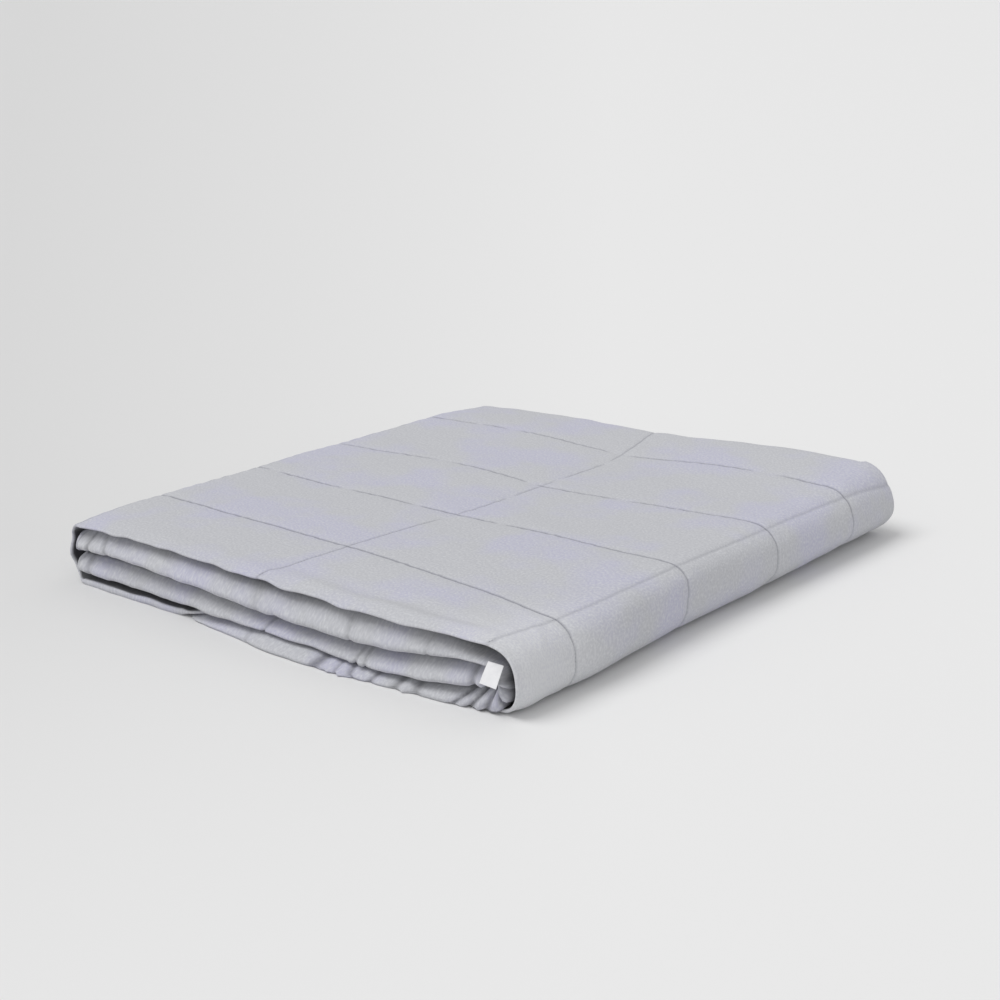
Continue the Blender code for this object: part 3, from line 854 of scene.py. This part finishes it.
def blanketStations():
    edges = np.array(stations["edge"]) * mm
    folds = [place for place, *_ in placed(pleats)]
    starts, ends = widthStarts[:-1].copy(), widthStarts[1:].copy()
    starts[0], ends[-1] = edges[-1], clothWide - edges[-1]
    across = [edges, clothWide - edges]
    for part, (coarse, fine, reach) in enumerate(stations["across"]):
        places = columnSeams + folds if part in (topPart, leftFold) else folds
        across.append(gradedSteps(starts[part], ends[part], coarse * mm, fine * mm, places, reach * mm))
    coarse, fine = stations["outer"]
    bulge, hidden, past = stations["bulge"] * mm, stations["hidden"] * mm, stations["pastBulge"] * mm
    hemStart = clothLong - stations["hemLong"] * mm
    down = [
        edges,
        gradedSteps(edges[-1], lengthStarts[backBulge], coarse * mm, fine * mm, rowSeams),
        gradedSteps(lengthStarts[backBulge], lengthStarts[middleLayer] + past, bulge),
        gradedSteps(lengthStarts[middleLayer] + past, lengthStarts[frontBulge] - past, hidden),
        gradedSteps(lengthStarts[frontBulge] - past, lengthStarts[innerLayer] + past, bulge),
        gradedSteps(lengthStarts[innerLayer] + past, hemStart, hidden),
        gradedSteps(hemStart, clothLong - edges[-1], stations["innerHem"] * mm),
        clothLong - edges,
    ]
    return [np.unique(np.concatenate(parts).round(6)) for parts in (across, down)]


def shownOutside(across, down, outside, inside):
    # which points of the two faces can be seen, from the y of each
    part = partAt(down, lengthStarts)
    past, deep = stations["shownPast"] * mm, stations["shownDeep"] * mm
    aboveGround = (across > widthStarts[rightFold] - past) & (across < widthStarts[middlePart] + past)
    atFront = (inside < deep - bulgeY) & ((part == outerLayer) | (part >= middleLayer))
    atBack = (outside > bulgeY - deep) & (part >= backBulge)
    hemAtBack = (inside > bulgeY - deep) & (part == innerLayer)
    onOuter = aboveGround & (part == outerLayer)
    return np.stack([onOuter | (part == backBulge) | atBack, atFront | hemAtBack])


def makeBlanket():
    across, down = np.meshgrid(*blanketStations(), indexing="ij")
    lift = clothLift(across, down)
    faces = [clothPoints(across, down, face, lift) for face in (1, -1)]
    shown = shownOutside(across, down, *(face[..., 1] for face in faces))
    # painted shade for the sewn channels and for the grooves between the layers, kept on the points
    channel = channelShade(across, down)
    shades = {"channel": (channel, channel), "groove": (0 * channel, grooveShade(across, down))}
    piece = sheetMesh("quiltedCotton", *faces, np.stack([across, down], -1), shown, shades)
    full = 2 * len(piece.data.polygons)
    thin = piece.modifiers.new("thin", "DECIMATE")
    thin.ratio = blanket["most"] / full
    thin.vertex_group = "hidden"
    applyModifiers(piece)
    piece.data.calc_loop_triangles()
    left = len(piece.data.loop_triangles)
    print("blanket:", across.shape, "stations,", full, "triangles, thinned to", left)
    return piece


quilt = makeBlanket()


# The seams are sewn with a lock stitch. Each stitch is a small drop of thread on the cloth.
stitches = {
    "pitch": 3.6 * mm,
    "long": 2.7 * mm,
    "thread": 0.50 * mm,
    "proud": 0.02 * mm,                   # of the thread's middle over the cloth
    "sink": 1.2 * mm,                     # where the filling closes over the seam
    "footGap": 12 * mm,                   # the row seams' stitches start above the ground
    "hemGap": 4 * mm,                     # and the column seams' behind the hem
    "past": 5 * mm,                       # they end past the back bulge
    "step": 2 * mm,
}


def seamLines():
    # across and down of each seam's points
    start, end = widthStarts[rightFold] + stitches["footGap"], widthStarts[middlePart]
    rowAcross = np.arange(start, end, stitches["step"])
    for seam in outerRows:
        yield rowAcross, np.full(rowAcross.shape, seam)
    start, end = stitches["hemGap"], lengthStarts[middleLayer] + stitches["past"]
    columnDown = np.arange(start, end, stitches["step"])
    for seam in columnSeams[1:4]:
        yield np.full(columnDown.shape, seam), columnDown


def addNode(tree, kind, links=None, inputs=None, **settings):
    # one node with its settings, socket values and links, each from a socket or a node's first output
    node = tree.nodes.new(kind)
    for key, value in settings.items():
        setattr(node, key, value)
    for key, value in (inputs or {}).items():
        node.inputs[key].default_value = value
    for key, source in (links or {}).items():
        tree.links.new(getattr(source, "outputs", [source])[0], node.inputs[key])
    return node


def stitchTree():
    tree = bpy.data.node_groups.new("lockStitch", "GeometryNodeTree")
    face = tree.interface
    face.new_socket("Seams", in_out="INPUT", socket_type="NodeSocketGeometry")
    for name in ("Pitch", "Long", "Thread"):
        face.new_socket(name, in_out="INPUT", socket_type="NodeSocketFloat")
    face.new_socket("Material", in_out="INPUT", socket_type="NodeSocketMaterial")
    face.new_socket("Stitches", in_out="OUTPUT", socket_type="NodeSocketGeometry")
    start = addNode(tree, "NodeGroupInput")
    curve = addNode(tree, "GeometryNodeMeshToCurve", {"Mesh": start.outputs["Seams"]})
    points = addNode(tree, "GeometryNodeResampleCurve",
                     {"Curve": curve, "Length": start.outputs["Pitch"]}, mode="LENGTH")
    tangent = addNode(tree, "GeometryNodeInputTangent")
    turn = addNode(tree, "FunctionNodeAlignRotationToVector", {"Vector": tangent}, axis="X")
    long, thick = start.outputs["Long"], start.outputs["Thread"]
    size = addNode(tree, "ShaderNodeCombineXYZ", {"X": long, "Y": thick, "Z": thick})
    drop = addNode(tree, "GeometryNodeMeshUVSphere", inputs={"Segments": 6, "Rings": 4, "Radius": 0.5})
    sewn = addNode(tree, "GeometryNodeInstanceOnPoints",
                   {"Points": points, "Instance": drop, "Rotation": turn, "Scale": size})
    real = addNode(tree, "GeometryNodeRealizeInstances", {"Geometry": sewn})
    painted = addNode(tree, "GeometryNodeSetMaterial",
                      {"Geometry": real, "Material": start.outputs["Material"]})
    addNode(tree, "NodeGroupOutput", {0: painted})
    return tree


def makeStitches(material):
    vertices, edges = [], []
    for across, down in seamLines():
        proud = stitches["proud"] - stitches["sink"] * (1 - np.minimum(*seamOpen(across, down)))
        points = clothPoints(across, down, 1, clothLift(across, down) + proud)
        first = len(vertices)
        vertices += points.tolist()
        edges += [(i, i + 1) for i in range(first, len(vertices) - 1)]
    mesh = bpy.data.meshes.new("seamStitches")
    mesh.from_pydata(vertices, edges, [])
    piece = bpy.data.objects.new("seamStitches", mesh)
    bpy.context.scene.collection.objects.link(piece)
    sewing = piece.modifiers.new("sewing", "NODES")
    sewing.node_group = stitchTree()
    sizes = {"Pitch": stitches["pitch"], "Long": stitches["long"],
             "Thread": stitches["thread"], "Material": material}
    for socket in sewing.node_group.interface.items_tree:
        if socket.name in sizes:
            sewing[socket.identifier] = sizes[socket.name]
    applyModifiers(piece)
    piece.data.shade_smooth()
    print("stitches:", len(piece.data.polygons), "faces")
    return piece


# A blank satin tag, sewn in under the top strip. It hangs over the tucked end of the middle one.
label = {
    "corners": (                           # from the tag's middle, clockwise from the top left, in mm
        (-5.25, 1.6, 10.75), (7.9, 6.6, 8.25), (6.0, -1.9, -11.25), (-8.65, -6.4, -7.75)),
    "size": (15 * mm, 23 * mm),
    "thick": 0.7 * mm,
    "curl": 0.9 * mm,                     # how far its middle bows out
    "lopsided": 0.4,                      # how much less in its middle, and twice that at its right edge
    "bevel": 0.15 * mm,
    "grid": (15, 21),                     # points along it and down it
    "shift": (2.6 * mm, -6 * mm, 1.5 * mm),
}


def makeLabel(node):
    low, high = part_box(node)
    middle = np.array([(low[i] + high[i]) / 2 + label["shift"][i] for i in range(3)])
    topLeft, topRight, lowRight, lowLeft = np.array(label["corners"]) * mm + middle
    right, fall = np.meshgrid(*(np.linspace(0, 1, count) for count in label["grid"]), indexing="ij")
    outwards = np.cross(topRight - topLeft, lowLeft - topLeft)
    outwards = outwards / -np.linalg.norm(outwards) * np.sign(outwards[1])

    def face(side):
        top = topLeft + right[..., None] * (topRight - topLeft)
        foot = lowLeft + right[..., None] * (lowRight - lowLeft)
        uneven = 1 - label["lopsided"] + label["lopsided"] * np.cos(math.pi * right)
        bow = label["curl"] * np.sin(math.pi * fall) * uneven
        out = bow + side * label["thick"] / 2
        return top + fall[..., None] * (foot - top) + out[..., None] * outwards

    flat = np.stack([right * label["size"][0], fall * label["size"][1]], -1)
    piece = sheetMesh("sideTag", face(1), face(-1), flat)
    bevel = piece.modifiers.new("edge", "BEVEL")
    bevel.width = label["bevel"]
    bevel.segments = 2
    applyModifiers(piece)
    piece.data.shade_smooth()
    print("label:", len(piece.data.polygons), "faces")
    return piece


# Finishes.
cottonLook = {
    "grey": "#B9BABF",
    "lavender": "#B7B7C8",
    # paler colour of the slub, and of the painted light at the front of the right fold
    "slubAndPaintedLight": "#D2D3D6",
    "rub": 0.75,                          # how far the slub shows
    "paintedLightMiddle": (0.425, 0.04, 0.0),     # painted light: the front of the right fold is painted palest
    # how far the painted light reaches from there, and how much of it shows
    "paintedLightReach": 0.16,
    "paintedLight": 0.75,
    # colour of the painted shade in the sewn channels
    "channel": "#6C6D78",
    "channelDark": 0.9,                   # how far the painted shade darkens the sewn channels
    # colour of the painted shade in the grooves between the layers
    "groove": "#242428",
    "grooveDark": 0.95,                   # how far the painted shade darkens the grooves between the layers
    "blotch": 90 * mm,
    "blotchRange": (0.46, 0.62),          # of the noise, from grey to lavender
    "slub": 2.4 * mm,                     # real slubs are finer, and would not show
    "slubRange": (0.42, 0.75),            # of the noise, from the ground to rubbed
    "weave": 1.2 * mm,                    # real threads are 0.35 mm apart, too fine to show
    "weaveHigh": 0.05 * mm,
    "crumple": 13 * mm,
    "crumpleHigh": 0.9 * mm,
}
threadLook = {"grey": "#7E7F88", "pale": "#95969E", "twist": 0.5 * mm}
satinLook = {
    "white": "#F7F7F8",
    "shade": "#E9E9EC",
    "cloud": 5 * mm,
    "rib": 0.6 * mm,
    "ribHigh": 0.03 * mm,
}


def newMaterial(name, roughness, sheen):
    material = bpy.data.materials.new(name)
    material.use_nodes = True
    shader = material.node_tree.nodes["Principled BSDF"]
    shader.inputs["Roughness"].default_value = roughness
    shader.inputs["Sheen Weight"].default_value = sheen
    shader.inputs["Sheen Roughness"].default_value = 0.6
    shader.inputs["Specular IOR Level"].default_value = 0.25
    return material, material.node_tree, shader


def threadWave(tree, along, pitch):
    # rises and falls once for each thread that lies side by side
    turns = addNode(tree, "ShaderNodeMath", {0: along}, {1: 2 * math.pi / pitch}, operation="MULTIPLY")
    return addNode(tree, "ShaderNodeMath", {0: turns}, operation="SINE")


def brushedCotton():
    # combed cotton in a plain weave: matt and soft, grey with lavender patches and a paler, rubbed slub;
    # painted light makes the front of the right fold paler, and painted shade darkens the cloth down in
    # the sewn channels and between the layers
    material, tree, shader = newMaterial("brushedCottonPlainWeave", 0.92, 0.10)
    look = cottonLook
    cloth = addNode(tree, "ShaderNodeUVMap", uv_map="cloth")
    blotch = addNode(tree, "ShaderNodeTexNoise", {"Vector": cloth},
                     {"Scale": 1 / look["blotch"], "Detail": 3.0})
    low, high = look["blotchRange"]
    patches = addNode(tree, "ShaderNodeMapRange", {"Value": blotch}, {"From Min": low, "From Max": high})
    ground = addNode(tree, "ShaderNodeMix", {0: patches},
                     {6: hexColour(look["grey"]), 7: hexColour(look["lavender"])}, data_type="RGBA")
    slub = addNode(tree, "ShaderNodeTexNoise", {"Vector": cloth},
                   {"Scale": 1 / look["slub"], "Detail": 4.0})
    low, high = look["slubRange"]
    rub = addNode(tree, "ShaderNodeMapRange", {"Value": slub},
                  {"From Min": low, "From Max": high, "To Max": look["rub"]})
    # painted light: paler towards the front of the right fold
    away = addNode(tree, "ShaderNodeVectorMath", {0: cloth}, {1: look["paintedLightMiddle"]}, operation="DISTANCE")
    paintedLight = addNode(tree, "ShaderNodeMapRange", {"Value": away.outputs["Value"]},
                   {"From Min": look["paintedLightReach"], "From Max": 0.0, "To Max": look["paintedLight"]},
                   interpolation_type="SMOOTHSTEP")
    pale = addNode(tree, "ShaderNodeMath", {0: rub, 1: paintedLight}, operation="ADD", use_clamp=True)
    slubAndPaintedLight = addNode(tree, "ShaderNodeMix", {0: pale, 6: ground.outputs[2]},
                     {7: hexColour(look["slubAndPaintedLight"])}, data_type="RGBA")
    colour = slubAndPaintedLight.outputs[2]
    # painted shade: darker in the sewn channels and in the grooves between the layers
    for shade in ("channel", "groove"):
        depth = addNode(tree, "ShaderNodeAttribute", attribute_name=shade)
        share = addNode(tree, "ShaderNodeMapRange", {"Value": depth.outputs["Fac"]},
                        {"To Max": look[shade + "Dark"]})
        shaded = addNode(tree, "ShaderNodeMix", {0: share, 6: colour}, {7: hexColour(look[shade])},
                         data_type="RGBA")
        colour = shaded.outputs[2]
    tree.links.new(colour, shader.inputs["Base Color"])

    axes = addNode(tree, "ShaderNodeSeparateXYZ", {0: cloth})
    threads = [threadWave(tree, axes.outputs[axis], look["weave"]) for axis in (0, 1)]
    weave = addNode(tree, "ShaderNodeMath", {0: threads[0], 1: threads[1]}, operation="MULTIPLY")
    crumple = addNode(tree, "ShaderNodeTexNoise", {"Vector": cloth},
                      {"Scale": 1 / look["crumple"], "Detail": 3.0})
    soft = addNode(tree, "ShaderNodeBump", {"Height": crumple},
                   {"Distance": look["crumpleHigh"], "Strength": 1.0})
    woven = addNode(tree, "ShaderNodeBump", {"Height": weave, "Normal": soft},
                    {"Distance": look["weaveHigh"], "Strength": 1.0})
    tree.links.new(woven.outputs[0], shader.inputs["Normal"])
    return material


def spunThread():
    # spun polyester thread, darker than the cloth, mottled by the twist of its strands
    material, tree, shader = newMaterial("spunPolyesterThread", 0.75, 0.1)
    place = addNode(tree, "ShaderNodeTexCoord").outputs["Object"]
    twist = addNode(tree, "ShaderNodeTexNoise", {"Vector": place}, {"Scale": 1 / threadLook["twist"]})
    mottle = addNode(tree, "ShaderNodeMix", {0: twist},
                     {6: hexColour(threadLook["grey"]), 7: hexColour(threadLook["pale"])}, data_type="RGBA")
    tree.links.new(mottle.outputs[2], shader.inputs["Base Color"])
    return material


def wovenSatin():
    # polyester satin tape: clean white, with fine ribs along it and a soft gloss
    material, tree, shader = newMaterial("wovenSatinTape", 0.5, 0.2)
    tape = addNode(tree, "ShaderNodeUVMap", uv_map="cloth")
    cloud = addNode(tree, "ShaderNodeTexNoise", {"Vector": tape}, {"Scale": 1 / satinLook["cloud"]})
    mottle = addNode(tree, "ShaderNodeMix", {0: cloud},
                     {6: hexColour(satinLook["white"]), 7: hexColour(satinLook["shade"])}, data_type="RGBA")
    tree.links.new(mottle.outputs[2], shader.inputs["Base Color"])
    axes = addNode(tree, "ShaderNodeSeparateXYZ", {0: tape})
    ribs = threadWave(tree, axes.outputs[0], satinLook["rib"])
    bump = addNode(tree, "ShaderNodeBump", {"Height": ribs},
                   {"Distance": satinLook["ribHigh"], "Strength": 1.0})
    tree.links.new(bump.outputs[0], shader.inputs["Normal"])
    return material


def paintedFloor():
    # matt floor paint with painted shade: a little darker in a wedge of the floor that opens to the back
    # left
    material, tree, shader = newMaterial("mattPaint", 0.95, 0.0)
    place = addNode(tree, "ShaderNodeTexCoord").outputs["Object"]
    ahead = addNode(tree, "ShaderNodeVectorMath", {0: place}, {1: studio["wedgeStart"]},
                    operation="SUBTRACT")
    away = addNode(tree, "ShaderNodeVectorMath", {0: ahead}, operation="LENGTH")
    way = addNode(tree, "ShaderNodeVectorMath", {0: ahead}, operation="NORMALIZE")
    aside = addNode(tree, "ShaderNodeVectorMath", {0: way}, {1: studio["wedgeAcross"]},
                    operation="DOT_PRODUCT")
    shares = [
        addNode(tree, "ShaderNodeMapRange", {"Value": node.outputs["Value"]},
                {"From Min": clean, "From Max": paintedShade})
        for node, (clean, paintedShade) in ((aside, studio["paintedShadeAside"]), (away, studio["paintedShadeAway"]))]
    paintedShade = addNode(tree, "ShaderNodeMath", {0: shares[0], 1: shares[1]}, operation="MULTIPLY")
    paint = addNode(tree, "ShaderNodeMix", {0: paintedShade},
                    {6: hexColour(studio["floor"]), 7: hexColour(studio["paintedShadeFloor"])}, data_type="RGBA")
    tree.links.new(paint.outputs[2], shader.inputs["Base Color"])
    return material


quilt.data.materials.clear()
quilt.data.materials.append(brushedCotton())
seamStitches = makeStitches(spunThread())
sideTag = makeLabel("side_label")
sideTag.data.materials.append(wovenSatin())
print("materials made")


# Floor, light and camera.
studio = {
    "floor": "#E8E8E8",
    # colour of the painted shade in the wedge below
    "paintedShadeFloor": "#D7D7D7",
    # The dull wedge imitates the photograph's fall of light. Its numbers are fixed, but they are laid out
    # along the camera's line: from 0.38 m behind the camera's foot, and measured to the camera's right.
    "wedgeStart": (1.35, -1.70, 0.0),     # the dull paint opens from here
    "wedgeAcross": (0.78, 0.62, 0.0),     # the direction across it
    "paintedShadeAside": (0.06, -0.25),           # sines of the angle off the wedge's line, from clean to dull
    "paintedShadeAway": (1.1, 2.3),               # distances from the wedge's start, from clean to dull
    "floorRadius": 300.0,
    "skyColour": "#FFFFFF",
    "sky": 0.5,
    "lamps": (
        # name, strength, width in degrees, and where it shines from
        ("softbox", 1.52, 38, (-0.33, -0.44, 1.0)),
        ("fill", 0.55, 90, (1.0, -0.6, 0.6)),
    ),
    "look": (-0.1314, 0.1746, 0.0),       # where the camera's middle meets the floor
    "far": 2.1013,
    "down": math.radians(16.71),
    "turn": math.radians(38.42),
    "lens": 62.06,
    "sensor": 36,
    "farthest": 1000,
}


def makeFloor():
    bpy.ops.mesh.primitive_circle_add(vertices=96, radius=studio["floorRadius"], fill_type="NGON")
    floor = bpy.context.object
    floor.name = "studioFloor"
    floor.data.materials.append(paintedFloor())


def makeLight():
    world = bpy.data.worlds.new("softRoom")
    bpy.context.scene.world = world
    world.use_nodes = True
    back = world.node_tree.nodes["Background"]
    back.inputs["Color"].default_value = hexColour(studio["skyColour"])
    back.inputs["Strength"].default_value = studio["sky"]
    for name, strength, width, source in studio["lamps"]:
        lamp = bpy.data.lights.new(name, "SUN")
        lamp.energy = strength
        lamp.angle = math.radians(width)
        holder = bpy.data.objects.new(name, lamp)
        holder.rotation_euler = Vector(source).to_track_quat("Z", "Y").to_euler()
        bpy.context.scene.collection.objects.link(holder)
    bpy.context.scene.view_settings.view_transform = "Standard"


def makeCamera():
    camera = bpy.data.cameras.new("camera")
    camera.lens = studio["lens"]
    camera.sensor_width = studio["sensor"]
    camera.clip_end = studio["farthest"]
    holder = bpy.data.objects.new("camera", camera)
    down, turn = studio["down"], studio["turn"]
    back = Vector((math.sin(turn) * math.cos(down), -math.cos(turn) * math.cos(down), math.sin(down)))
    holder.location = Vector(studio["look"]) + back * studio["far"]
    holder.rotation_euler = back.to_track_quat("Z", "Y").to_euler()
    bpy.context.scene.collection.objects.link(holder)
    bpy.context.scene.camera = holder


makeFloor()
makeLight()
makeCamera()
print("floor, light and camera set")

for piece in (quilt, seamStitches, sideTag):
    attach(piece, "root")
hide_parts("blanket")
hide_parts("side_label")
